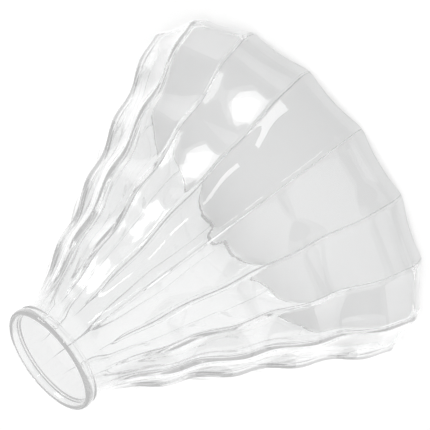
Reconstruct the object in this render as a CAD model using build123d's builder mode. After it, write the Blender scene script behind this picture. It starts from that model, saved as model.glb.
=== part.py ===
# Fluted glass funnel: one blown and moulded piece, standing on its wide mouth.
# The origin is the centre of the mouth plane, and +Z runs up the axis to the neck.
# Lengths are millimetres.

from build123d import *
from math import cos, pi, sin
import os

os.makedirs("parts", exist_ok=True)

# Overall form
height = 116.0  # mouth plane to the top of the lip
mouth_diameter = 140.0  # across opposite ridges, on the mouth plane
shoulder_diameter = 144.6  # across opposite ridges, where the mouth starts to turn in
shoulder_height = 5.0  # mouth plane to the shoulder
foot_width = 4.0  # what stays of the rim under each ridge
arch_height = 1.4  # rise of the rim between two feet

# Flutes: sharp ridges outside with a hollow scoop between each pair, flat panels inside
flute_count = 16
flute_depth = 2.3  # ridge to the bottom of the scoop, on the cone
mouth_flute_depth = 1.0  # the same at the mouth
flute_runout = 30.0  # length over which the scoops die out towards the collar

# Rings: soft swells that follow each other up the cone, inside as outside
ring_count = 4
ring_height = 1.75  # trough to crest
last_ring_gap = 8.0  # highest trough down from the collar
stations_per_ring = 6  # sections that describe each swell

# Neck: round collar, then a groove, then a bead with a rounded top
neck_diameter = 40.6  # outside of the collar
neck_wall = 2.5
collar_length = 11.0  # top of the lip down to where the cone begins
flare_half_length = 4.0  # the cone eases into the collar over twice this
bead_radius = 1.7
bead_overhang = 0.45  # how far the bead stands out past the collar
groove_depth = 0.5  # neck-in between collar and bead
groove_height = 0.8
lip_radius = 1.2  # rounding from the bore to the top of the bead
panel_fade = 0.4  # how far inside the bore the corners of the panels end

# Wall
wall = 2.2  # measured level, at the bottom of a scoop
mouth_bevel = 0.4  # inner edge of the mouth

# Derived sizes of the neck
neck_radius = neck_diameter / 2
bore_radius = neck_radius - neck_wall
crown_radius = neck_radius + bead_overhang - bead_radius
bead_middle = height - bead_radius
bead_base = bead_middle - bead_radius
collar_base = height - collar_length
flare_top = collar_base + flare_half_length

# Derived sizes of the arches
mouth_radius = mouth_diameter / 2
arch_half_span = mouth_radius * sin(pi / flute_count) - foot_width / 2
arch_radius = (arch_half_span**2 + arch_height**2) / (2 * arch_height)

# Derived sizes of the body
cone_slope = (shoulder_diameter / 2 - neck_radius) / (collar_base - shoulder_height)
last_ring_end = collar_base - last_ring_gap
ring_pitch = (last_ring_end - shoulder_height) / ring_count
flute_angle = 2 * pi / flute_count

def ridge_radius(z):
    """Ridges: a cone that eases into the collar, with the rings as a sine-squared wave."""
    below_flare = flare_top - z
    if below_flare < 2 * flare_half_length:
        return neck_radius + cone_slope * below_flare**2 / (4 * flare_half_length)
    cone = neck_radius + cone_slope * (collar_base - z)
    if z > last_ring_end:
        return cone
    return cone + ring_height * sin(pi * (z - shoulder_height) / ring_pitch) ** 2

def scoop(z):
    """Depth of the flutes, dying out smoothly towards the round collar."""
    share = min(1, (flare_top - z) / flute_runout)
    return flute_depth * share**2 * (3 - 2 * share)

# Sections up the cone: height, radius of the ridges, radius of the scoops' bottom
stations = [
    shoulder_height + ring_pitch * step / stations_per_ring
    for step in range(ring_count * stations_per_ring + 1)
]
stations += [last_ring_end + (flare_top - last_ring_end) * step / 4 for step in (1, 2, 3, 4)]
mouth = (0, mouth_radius, mouth_radius - mouth_flute_depth)
outside = [mouth] + [(z, ridge_radius(z), ridge_radius(z) - scoop(z)) for z in stations]

# Sections inside: height and radius of the panels' middle
band_slope = (outside[1][2] - outside[0][2]) / shoulder_height
inside = [
    (0, outside[0][2] - wall + mouth_bevel),
    (mouth_bevel, outside[0][2] - wall + band_slope * mouth_bevel),
]
inside += [(z, valley - wall) for z, ridge, valley in outside[1:] if z < collar_base]
inside += [(flare_top, bore_radius * cos(flute_angle / 2) - panel_fade)]

# The funnel
with BuildPart() as funnel:
    # Fluted and ringed body
    for z, ridge, valley in outside:
        with BuildSketch(Plane.XY.offset(z)):
            with BuildLine():
                for flute in range(flute_count):
                    start = flute_angle * flute
                    middle = start + flute_angle / 2
                    end = start + flute_angle
                    ThreePointArc(
                        (ridge * cos(start), ridge * sin(start)),
                        (valley * cos(middle), valley * sin(middle)),
                        (ridge * cos(end), ridge * sin(end)),
                    )
            make_face()
    loft(ruled=True)

    # Round collar, groove and bead
    with BuildSketch(Plane.XZ):
        with BuildLine():
            Polyline(
                (0, flare_top),
                (neck_radius, flare_top),
                (neck_radius, bead_base - groove_height),
                (neck_radius - groove_depth, bead_base),
                (crown_radius + bead_radius, bead_middle),
            )
            RadiusArc((crown_radius + bead_radius, bead_middle), (crown_radius, height), -bead_radius)
            Polyline((crown_radius, height), (0, height), (0, flare_top))
        make_face()
    revolve(axis=Axis.Z)

    # Panels inside, with a bevel at the mouth
    for z, radius in inside:
        with BuildSketch(Plane.XY.offset(z)):
            RegularPolygon(radius, flute_count, major_radius=False)
    loft(ruled=True, mode=Mode.SUBTRACT)

    # Straight bore and rounded lip
    with BuildSketch(Plane.XZ):
        with BuildLine():
            Polyline(
                (bore_radius + lip_radius, height),
                (0, height),
                (0, collar_base),
                (bore_radius, collar_base),
                (bore_radius, height - lip_radius),
            )
            RadiusArc(
                (bore_radius, height - lip_radius), (bore_radius + lip_radius, height), lip_radius
            )
        make_face()
    revolve(axis=Axis.Z, mode=Mode.SUBTRACT)

    # Arches of the rim between the feet
    with Locations((0, 0, arch_height - arch_radius)):
        with PolarLocations(mouth_radius, flute_count, start_angle=180 / flute_count):
            Cylinder(arch_radius, 4 * shoulder_height, rotation=(0, 90, 0), mode=Mode.SUBTRACT)
funnel.part.label = "funnel"
export_step(funnel.part, "parts/funnel.step")
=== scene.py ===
"""A clear fluted glass funnel on a pale studio floor, standing on its wide mouth."""

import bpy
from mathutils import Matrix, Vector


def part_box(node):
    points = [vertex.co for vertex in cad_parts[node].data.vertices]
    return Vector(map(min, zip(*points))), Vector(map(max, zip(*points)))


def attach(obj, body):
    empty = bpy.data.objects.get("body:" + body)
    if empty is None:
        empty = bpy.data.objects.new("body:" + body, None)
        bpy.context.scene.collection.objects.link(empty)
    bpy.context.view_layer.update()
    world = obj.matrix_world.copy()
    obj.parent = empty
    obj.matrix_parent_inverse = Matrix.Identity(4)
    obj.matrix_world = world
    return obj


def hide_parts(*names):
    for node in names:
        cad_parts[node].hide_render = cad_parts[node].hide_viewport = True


bl_info = {
    "name": "Fluted Glass Funnel",
    "version": (1, 0, 0),
    "blender": (4, 5, 0),
    "location": "View3D > Sidebar > Glass Funnel",
    "description": "Makes a clear fluted and ringed glass funnel and a pale studio round it",
    "category": "Object",
}

import bpy
import numpy as np
from bpy.props import FloatProperty, FloatVectorProperty, IntProperty, PointerProperty
from mathutils import Matrix, Vector

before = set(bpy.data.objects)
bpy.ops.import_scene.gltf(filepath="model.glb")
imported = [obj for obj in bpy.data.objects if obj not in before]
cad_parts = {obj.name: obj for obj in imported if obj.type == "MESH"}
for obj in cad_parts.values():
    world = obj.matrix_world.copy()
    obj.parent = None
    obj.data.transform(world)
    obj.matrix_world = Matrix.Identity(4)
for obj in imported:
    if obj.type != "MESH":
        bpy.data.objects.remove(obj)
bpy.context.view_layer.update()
funnel_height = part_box("funnel")[1].z


def length(label, default, description):
    """A length in metres, shown in the scene's unit."""
    return FloatProperty(
        name=label, description=description, default=default, min=0.0,
        unit="LENGTH", subtype="DISTANCE", precision=4,
    )


class FunnelSizes(bpy.types.PropertyGroup):
    """Sizes of the glass, in metres, with the mouth plane at z = 0."""

    height: length("Height", funnel_height, "Mouth plane to the top of the lip")
    mouth_diameter: length("Mouth diameter", 0.140, "Across opposite ridges at the mouth")
    shoulder_diameter: length("Shoulder diameter", 0.1446, "Across ridges at the shoulder")
    shoulder_height: length("Shoulder height", 0.005, "Mouth plane to the shoulder")
    shoulder_softness: length("Shoulder softness", 0.0006, "Rounding of the shoulder")
    foot_width: length("Foot width", 0.0040, "What stays of the rim under each ridge")
    arch_height: length("Arch height", 0.0014, "Rise of the rim between two feet")
    mouth_edge: length("Mouth edge", 0.0006, "Softening of the fire-polished mouth edge")
    flute_count: IntProperty(
        name="Flutes", description="Hollow scoops round the cone", default=16, min=6, max=40
    )
    flute_depth: length("Flute depth", 0.0023, "Ridge to the bottom of a scoop")
    mouth_flute_depth: length("Mouth flute depth", 0.0010, "Ridge to scoop at the mouth")
    flute_runout: length("Flute run-out", 0.030, "Length over which the scoops die out")
    ridge_softness: length("Ridge softness", 0.0008, "Rounding of the ridges outside")
    inner_softness: length("Inner softness", 0.0025, "Rounding of the ridges inside")
    inner_share: FloatProperty(
        name="Inner flutes", description="Part of the flute depth that the inside follows",
        default=1.0, min=0.0, max=1.0,
    )
    ring_count: IntProperty(
        name="Rings", description="Soft swells up the cone", default=4, min=1, max=12
    )
    ring_height: length("Ring height", 0.00175, "Trough to crest of a swell")
    last_ring_gap: length("Last ring gap", 0.008, "Highest trough below the collar")
    neck_diameter: length("Neck diameter", 0.0406, "Outside of the collar")
    neck_wall: length("Neck wall", 0.0025, "Thickness of the collar's wall")
    collar_length: length("Collar length", 0.011, "Top of the lip to the cone")
    flare_half_length: length("Flare", 0.004, "Half the length that eases cone into collar")
    bead_radius: length("Bead radius", 0.0017, "Rounding of the bead at the lip")
    bead_overhang: length("Bead overhang", 0.00045, "How far the bead stands out")
    lip_run: length("Lip run", 0.0035, "Height over which the bore opens out to the lip")
    lip_inset: length("Lip inset", 0.0008, "How far the thin edge lies inside the collar")
    groove_depth: length("Groove depth", 0.0005, "Neck-in under the bead")
    groove_height: length("Groove height", 0.0008, "Height of the groove's slope")
    wall: length("Wall", 0.0022, "Thickness at the bottom of a scoop, measured level")
    mouth_wall: length("Mouth wall", 0.0014, "Thickness at the mouth")


class FunnelFinish(bpy.types.PropertyGroup):
    """Finish of the glass and of the studio."""

    glass: FloatVectorProperty(
        name="Glass", description="Tint of the clear glass", default=(0.965, 0.968, 0.968),
        subtype="COLOR", size=3, min=0.0, max=1.0,
    )
    floor: FloatVectorProperty(
        name="Floor", description="Colour of the studio floor", default=(0.85, 0.85, 0.85),
        subtype="COLOR", size=3, min=0.0, max=1.0,
    )


def ridge_radius(size, z):
    """Ridges: a straight cone, eased into the collar by a parabola near the top and crossed
    by rings as a sine-squared wave. Below the shoulder a straight band runs in to the mouth;
    the corner between the two is rounded by a hyperbola."""
    neck = size.neck_diameter / 2
    collar_base = size.height - size.collar_length
    flare_top = collar_base + size.flare_half_length
    top = collar_base - size.last_ring_gap
    slope = (size.shoulder_diameter / 2 - neck) / (collar_base - size.shoulder_height)
    below = np.clip(flare_top - z, 0, None)
    eased = neck + slope * below**2 / (4 * size.flare_half_length)
    pitch = (top - size.shoulder_height) / size.ring_count
    wave = size.ring_height * np.sin(np.pi * (z - size.shoulder_height) / pitch) ** 2
    straight = neck + slope * (collar_base - z) + np.where(
        (z < size.shoulder_height) | (z > top), 0, wave
    )
    body = np.where(below < 2 * size.flare_half_length, eased, straight)
    band = (size.mouth_diameter / 2 - size.shoulder_diameter / 2) / size.shoulder_height
    bend = slope - band
    step = z - size.shoulder_height
    drop = (np.sqrt(step**2 + size.shoulder_softness**2) - np.abs(step)) / 2
    return body + bend * np.minimum(step, 0) - bend * drop


def scoop(size, z):
    """Depth of the flutes, which dies out towards the collar along a smooth step and grows
    in a straight line from the shoulder to the mouth."""
    flare_top = size.height - size.collar_length + size.flare_half_length
    share = np.clip((flare_top - z) / size.flute_runout, 0, 1)
    mouth_share = np.clip(1 - z / size.shoulder_height, 0, 1)
    growth = (size.mouth_flute_depth - size.flute_depth) * mouth_share
    return size.flute_depth * share**2 * (3 - 2 * share) + growth


def curve(start, control, end, count):
    """Quadratic curve through start and end, pulled towards the control point."""
    t = np.linspace(0, 1, count)[:, None]
    start, control, end = (np.array(point) for point in (start, control, end))
    return (1 - t) ** 2 * start + 2 * t * (1 - t) * control + t**2 * end


def arc(start, end, count):
    """Part of the unit circle, between two angles in degrees."""
    angle = np.radians(np.linspace(start, end, count))
    return np.stack([np.cos(angle), np.sin(angle)], -1)


def fluted_rows(size, z, radius, depth, softness, steps):
    """Fluted surface. Each flute is a parabola between two ridges: at the share t of the half
    chord (t from -1 to 1) it lies (depth - chord sag) * (1 - t * t) inside the chord. The
    ridges are rounded by a hyperbola, and the steps crowd towards them by a power. Towards
    the mouth each flute is lifted between its feet by a parabola that fades out at the
    shoulder. Returns rows x around x 3."""
    crowding = 2.5
    half = np.pi / size.flute_count
    share = 2 * np.arange(steps) / steps - 1
    t = np.sign(share) * (1 - (1 - np.abs(share)) ** crowding)
    middle = (2 * np.arange(size.flute_count) + 1) * half
    extra = (depth - radius * (1 - np.cos(half)))[:, None]
    chord = (radius * np.sin(half))[:, None]
    along = t[None, :] * chord
    out = (radius * np.cos(half))[:, None] - extra * (1 - t**2)[None, :]
    steepness = np.clip(np.tan(half) + 2 * extra / chord, 0, None)
    gap = (1 - np.abs(t))[None, :] * chord
    out = out - steepness * (np.sqrt(gap**2 + softness**2) - gap)
    foot = 1 - size.foot_width / 2 / chord
    arch = size.arch_height * np.clip(1 - (t[None, :] / foot) ** 2, 0, None)
    arch = arch * (np.clip(1 - z / size.shoulder_height, 0, None) ** 2)[:, None]
    height = np.broadcast_to((z[:, None] + arch)[:, None, :], (len(z), size.flute_count, steps))
    cosine, sine = np.cos(middle)[None, :, None], np.sin(middle)[None, :, None]
    x = out[:, None, :] * cosine - along[:, None, :] * sine
    y = out[:, None, :] * sine + along[:, None, :] * cosine
    return np.stack([x, y, height], -1).reshape(len(z), -1, 3)


def round_rows(profile, angles):
    """Surface of revolution: each profile point (radius, z) goes round at the given angles."""
    radius, z = profile[:, 0:1], profile[:, 1:2]
    x, y = radius * np.cos(angles), radius * np.sin(angles)
    return np.stack([x, y, np.broadcast_to(z, x.shape)], -1)


def closed_mesh(name, rows):
    """Mesh of quads on a grid that closes both round the axis and along the profile."""
    count, around = rows.shape[:2]
    index = np.arange(count * around).reshape(count, around)
    right = np.roll(index, -1, axis=1)
    quads = np.stack([index, right, np.roll(right, -1, axis=0), np.roll(index, -1, axis=0)], -1)
    quads = quads.reshape(-1, 4)
    mesh = bpy.data.meshes.new(name)
    mesh.vertices.add(count * around)
    mesh.vertices.foreach_set("co", rows.astype(np.float32).ravel())
    mesh.loops.add(quads.size)
    mesh.loops.foreach_set("vertex_index", quads.astype(np.int32).ravel())
    mesh.polygons.add(len(quads))
    mesh.polygons.foreach_set("loop_start", np.arange(0, quads.size, 4, dtype=np.int32))
    mesh.polygons.foreach_set("use_smooth", np.ones(len(quads), dtype=bool))
    mesh.update(calc_edges=True)
    mesh.validate()
    return mesh


def funnel_rows(size, steps=22):
    """Whole skin of the funnel, from the mouth up the outside, over the bead and back down
    the inside, as rows x around x 3, with the given steps across each flute."""
    neck = size.neck_diameter / 2
    bore = neck - size.neck_wall
    flare_top = size.height - size.collar_length + size.flare_half_length
    groove = neck - size.groove_depth
    bead = neck + size.bead_overhang
    bead_middle = size.height - size.bead_radius
    bead_base = bead_middle - size.bead_radius
    groove_base = bead_base - size.groove_height

    # Lip: the bore opens out along part of an ellipse to a thin edge over the bead
    lip_base = size.height - size.lip_run
    lip_radius = neck - size.lip_inset
    lip_turn = 40
    opening = np.radians(lip_turn)
    reach = ((lip_radius - bore) / (1 - np.cos(opening)), size.lip_run / np.sin(opening))

    # Heights of the rows: closer together where the mouth turns in
    edge = size.mouth_edge
    dense_top = 2 * size.shoulder_height
    rise = np.concatenate([
        np.linspace(edge, dense_top, 25),
        np.linspace(dense_top, flare_top, 84)[1:],
    ])

    # Outside of the cone: a soft edge at the mouth, then flutes and rings
    turn = np.linspace(0, np.pi / 2, 6)
    z = np.concatenate([edge * (1 - np.cos(turn)), rise[1:]])
    pull = np.concatenate([edge * (1 - np.sin(turn)), np.zeros(len(rise) - 1)])
    ridge, depth = ridge_radius(size, z), scoop(size, z)
    outside = fluted_rows(size, z, ridge - pull, depth, size.ridge_softness, steps)
    angles = np.arctan2(outside[-1, :, 1], outside[-1, :, 0])

    # Collar, groove, bead, lip and bore
    neck_profile = np.concatenate([
        np.linspace((neck, flare_top), (neck, groove_base), 8)[1:],
        curve((neck, groove_base), (groove, groove_base), (groove, bead_base), 6)[1:],
        curve((groove, bead_base), (bead, bead_base), (bead, bead_middle), 9)[1:],
        arc(0, 90, 14)[1:] * (bead - lip_radius, size.bead_radius) + (lip_radius, bead_middle),
        arc(180 - lip_turn, 180, 16)[1:] * reach + (bore + reach[0], lip_base),
        np.linspace((bore, lip_base), (bore, flare_top), 8)[1:],
    ])

    # Inside of the cone: softer flutes, one wall further in, and a soft edge at the mouth
    turn = turn[1:]
    z = np.concatenate([rise[-2::-1], edge * (1 - np.sin(turn))])
    push = np.concatenate([np.zeros(len(rise) - 1), edge * (1 - np.cos(turn))])
    neck_share = np.clip(1 - (flare_top - z) / size.collar_length, 0, 1)
    mouth_share = np.clip(1 - z / size.shoulder_height, 0, 1)
    thick = size.wall + (size.neck_wall - size.wall) * neck_share
    thick = thick + (size.mouth_wall - size.wall) * mouth_share
    depth = scoop(size, z)
    ridge = ridge_radius(size, z) - thick - (1 - size.inner_share) * depth + push
    inside = fluted_rows(size, z, ridge, size.inner_share * depth, size.inner_softness, steps)
    return np.concatenate([outside, round_rows(neck_profile, angles), inside])


def clear_glass(finish):
    """Clear glass with the faint waviness of a blown wall. Shadow rays go straight through it
    and lose little. Where a ray is caught between the faces of the wall for longer than the
    render follows it, the glass glows a pale grey. This is painted light in place of the black
    that the ray would otherwise end in."""
    material = bpy.data.materials.new("clear_glass")
    material.use_nodes = True
    nodes, links = material.node_tree.nodes, material.node_tree.links
    glass = nodes["Principled BSDF"]
    glass.inputs["Base Color"].default_value = (*finish.glass, 1)
    glass.inputs["Roughness"].default_value = 0.0
    glass.inputs["IOR"].default_value = 1.47
    glass.inputs["Transmission Weight"].default_value = 1.0

    # Waviness
    place = nodes.new("ShaderNodeTexCoord")
    noise = nodes.new("ShaderNodeTexNoise")
    noise.inputs["Scale"].default_value = 60.0
    noise.inputs["Detail"].default_value = 1.0
    bump = nodes.new("ShaderNodeBump")
    bump.inputs["Strength"].default_value = 0.05
    bump.inputs["Distance"].default_value = 0.0006
    links.new(place.outputs["Object"], noise.inputs["Vector"])
    links.new(noise.outputs["Fac"], bump.inputs["Height"])
    links.new(bump.outputs["Normal"], glass.inputs["Normal"])

    # Shadow
    path = nodes.new("ShaderNodeLightPath")
    clear = nodes.new("ShaderNodeBsdfTransparent")
    clear.inputs["Color"].default_value = (0.93, 0.93, 0.93, 1)
    shaded = nodes.new("ShaderNodeMixShader")
    links.new(path.outputs["Is Shadow Ray"], shaded.inputs["Fac"])
    links.new(glass.outputs[0], shaded.inputs[1])
    links.new(clear.outputs[0], shaded.inputs[2])

    # Painted glow: the last bounce that the render follows has a glossy depth of 4, and past it
    # the glass glows pale grey
    deep = nodes.new("ShaderNodeMath")
    deep.operation = "GREATER_THAN"
    deep.inputs[1].default_value = 3.5
    # Emission in the glass: painted light that stands in for light leaving the wall
    painted_glow = nodes.new("ShaderNodeEmission")
    painted_glow.inputs["Strength"].default_value = 0.55
    whole = nodes.new("ShaderNodeMixShader")
    links.new(path.outputs["Glossy Depth"], deep.inputs[0])
    links.new(deep.outputs[0], whole.inputs["Fac"])
    links.new(shaded.outputs[0], whole.inputs[1])
    links.new(painted_glow.outputs[0], whole.inputs[2])
    links.new(whole.outputs[0], nodes["Material Output"].inputs["Surface"])
    return material


class OBJECT_OT_funnel_glass(bpy.types.Operator):
    """Make the fluted glass funnel in place of the plain one"""

    bl_idname = "object.funnel_glass"
    bl_label = "Make Glass Funnel"

    def execute(self, context):
        size, finish = context.scene.funnel_sizes, context.scene.funnel_finish
        mesh = closed_mesh("fluted_glass", funnel_rows(size))
        mesh.materials.append(clear_glass(finish))
        funnel = bpy.data.objects.new("fluted_glass", mesh)
        context.collection.objects.link(funnel)
        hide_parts("funnel")
        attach(funnel, "root")
        return {"FINISHED"}


def by_ray(nodes, links, strengths):
    """Strength that depends on the kind of ray: the sum of each Light Path output named,
    times its strength."""
    path = nodes.new("ShaderNodeLightPath")
    total = None
    for name, strength in strengths.items():
        share = nodes.new("ShaderNodeMath")
        share.operation = "MULTIPLY_ADD"
        share.inputs[1].default_value = strength
        share.inputs[2].default_value = 0.0
        links.new(path.outputs[name], share.inputs[0])
        if total is not None:
            links.new(total, share.inputs[2])
        total = share.outputs[0]
    return total


def floor_paint(finish):
    """Pale floor: a matt coat that takes the shadow, lifted to white for the eye and for what
    mirrors in the glass. A ray bent by the glass counts as glossy too, so the transmission
    strength takes that lift away again, and the floor seen through the glass stays a light
    grey that sets off its edges."""
    material = bpy.data.materials.new("studio_floor")
    material.use_nodes = True
    nodes, links = material.node_tree.nodes, material.node_tree.links
    nodes.clear()
    matt = nodes.new("ShaderNodeBsdfDiffuse")
    matt.inputs["Color"].default_value = (*finish.floor, 1)
    glow = nodes.new("ShaderNodeEmission")
    both = nodes.new("ShaderNodeAddShader")
    output = nodes.new("ShaderNodeOutputMaterial")
    lift = by_ray(nodes, links, {
        "Is Camera Ray": 0.16, "Is Glossy Ray": 0.60, "Is Transmission Ray": -0.60,
    })
    links.new(lift, glow.inputs["Strength"])
    links.new(matt.outputs[0], both.inputs[0])
    links.new(glow.outputs[0], both.inputs[1])
    links.new(both.outputs[0], output.inputs["Surface"])
    return material


def softbox(name, azimuth, elevation, distance, sides, radiance, target):
    """Rectangular area lamp that faces the target from the given direction in degrees. Its
    power is the radiance times pi times its area."""
    lamp = bpy.data.lights.new(name, "AREA")
    lamp.shape = "RECTANGLE"
    lamp.size, lamp.size_y = sides
    lamp.energy = radiance * np.pi * sides[0] * sides[1]
    holder = bpy.data.objects.new(name, lamp)
    az, el = np.radians(azimuth), np.radians(elevation)
    way = Vector((np.cos(el) * np.cos(az), np.cos(el) * np.sin(az), np.sin(el)))
    holder.location = target + way * distance
    holder.rotation_euler = way.to_track_quat("Z", "Y").to_euler()
    bpy.context.collection.objects.link(holder)


class SCENE_OT_funnel_studio(bpy.types.Operator):
    """Make the pale floor, the soft lamps, the surroundings and the camera"""

    bl_idname = "scene.funnel_studio"
    bl_label = "Make Studio"

    def execute(self, context):
        scene, finish = context.scene, context.scene.funnel_finish

        # Floor
        half = 6.0
        mesh = bpy.data.meshes.new("floor")
        mesh.from_pydata(
            [(-half, -half, 0), (half, -half, 0), (half, half, 0), (-half, half, 0)],
            [], [(0, 1, 2, 3)],
        )
        mesh.materials.append(floor_paint(finish))
        floor = bpy.data.objects.new("floor", mesh)
        context.collection.objects.link(floor)

        # Surroundings: white to the eye, plain pale grey as light
        world = bpy.data.worlds.new("studio")
        world.use_nodes = True
        scene.world = world
        nodes, links = world.node_tree.nodes, world.node_tree.links
        nodes.clear()
        light = nodes.new("ShaderNodeBackground")
        output = nodes.new("ShaderNodeOutputWorld")
        links.new(by_ray(nodes, links, {
            "Is Camera Ray": 1.0, "Is Glossy Ray": 0.6, "Is Diffuse Ray": 0.95,
        }), light.inputs["Strength"])
        links.new(light.outputs[0], output.inputs["Surface"])

        # Lamps
        target = Vector((0, 0, 0.05))
        softbox("key_softbox", -12, 26, 0.9, (0.27, 0.27), 4.5, target)
        softbox("halo_softbox", -12, 26, 0.94, (0.38, 0.38), 1.2, target)
        softbox("broad_softbox", -150, 32, 1.3, (2.4, 1.4), 1.0, target)
        softbox("back_softbox", 90, 40, 1.2, (0.8, 0.8), 0.6, target)
        softbox("strip_softbox", -77, 30, 0.9, (0.04, 0.50), 6.0, target)

        # Camera: three quarters from above, rolled so that the neck points down and left
        pitch, roll = np.radians(26.96), np.radians(-126.64)
        distance = 1.0
        right = Vector((1, 0, 0))
        up = Vector((0, np.sin(pitch), np.cos(pitch)))
        back = Vector((0, -np.cos(pitch), np.sin(pitch)))
        aim = right * 0.00623 + up * 0.02649
        place = aim + back * distance
        side = right * np.cos(roll) + up * np.sin(roll)
        top = -right * np.sin(roll) + up * np.cos(roll)
        turn = Matrix((side, top, back)).transposed()
        lens = bpy.data.cameras.new("camera")
        lens.sensor_width = 36.0
        lens.lens = 229.24
        camera = bpy.data.objects.new("camera", lens)
        camera.matrix_world = Matrix.Translation(place) @ turn.to_4x4()
        context.collection.objects.link(camera)
        scene.camera = camera
        scene.view_settings.view_transform = "Standard"
        return {"FINISHED"}


class VIEW3D_PT_glass_funnel(bpy.types.Panel):
    """Sidebar panel with the funnel's sizes and finish"""

    bl_label = "Glass Funnel"
    bl_space_type = "VIEW_3D"
    bl_region_type = "UI"
    bl_category = "Glass Funnel"

    def draw(self, context):
        layout, scene = self.layout, context.scene
        layout.operator("object.funnel_glass")
        layout.operator("scene.funnel_studio")
        for group in (scene.funnel_sizes, scene.funnel_finish):
            column = layout.column()
            for name in group.__annotations__:
                column.prop(group, name)


classes = (
    FunnelSizes,
    FunnelFinish,
    OBJECT_OT_funnel_glass,
    SCENE_OT_funnel_studio,
    VIEW3D_PT_glass_funnel,
)


def register():
    for item in classes:
        bpy.utils.register_class(item)
    bpy.types.Scene.funnel_sizes = PointerProperty(type=FunnelSizes)
    bpy.types.Scene.funnel_finish = PointerProperty(type=FunnelFinish)


def unregister():
    del bpy.types.Scene.funnel_finish
    del bpy.types.Scene.funnel_sizes
    for item in reversed(classes):
        bpy.utils.unregister_class(item)


def main():
    """Register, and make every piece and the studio."""
    register()
    bpy.ops.object.funnel_glass()
    bpy.ops.scene.funnel_studio()


if __name__ == "__main__":
    main()
